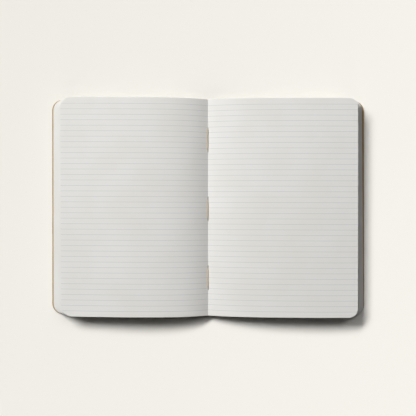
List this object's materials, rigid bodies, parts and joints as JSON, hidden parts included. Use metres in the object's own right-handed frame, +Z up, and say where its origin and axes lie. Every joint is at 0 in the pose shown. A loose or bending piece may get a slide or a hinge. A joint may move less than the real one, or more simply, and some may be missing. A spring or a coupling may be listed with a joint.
{
  "type": "open composition notebook",
  "caption": "Soft-cover ruled notebook lying open at its sewn centre fold, with rounded corners, sloped fore edges and a plain card cover.",
  "frame": {"origin": "under the middle of the spine, on the surface that the open notebook lies on", "axes": "+X to the reader's right, +Y to the head of the pages, +Z up out of the open pages"},
  "size_m": [0.3718, 0.254, 0.0132],
  "materials": {
    "ruled_paper": "uncoated, matt, with thin grey ruled lines",
    "linen_thread": "twisted natural thread",
    "kraft_card": "uncoated brown kraft card"
  },
  "bodies": {
    "book_block": {"pages": "ruled_paper", "sewing_thread": "linen_thread", "cover_spine": "kraft_card"},
    "front_cover": {"front_cover": "kraft_card"},
    "back_cover": {"back_cover": "kraft_card"}
  },
  "joints": [
    {"name": "front_cover_hinge", "type": "hinge", "parent": "book_block", "child": "front_cover", "pos_m": [-0.0132, 0, 0], "axis": [0, -1, 0], "range_deg": [0, 90]},
    {"name": "back_cover_hinge", "type": "hinge", "parent": "book_block", "child": "back_cover", "pos_m": [0.0132, 0, 0], "axis": [0, 1, 0], "range_deg": [0, 90]}
  ]
}
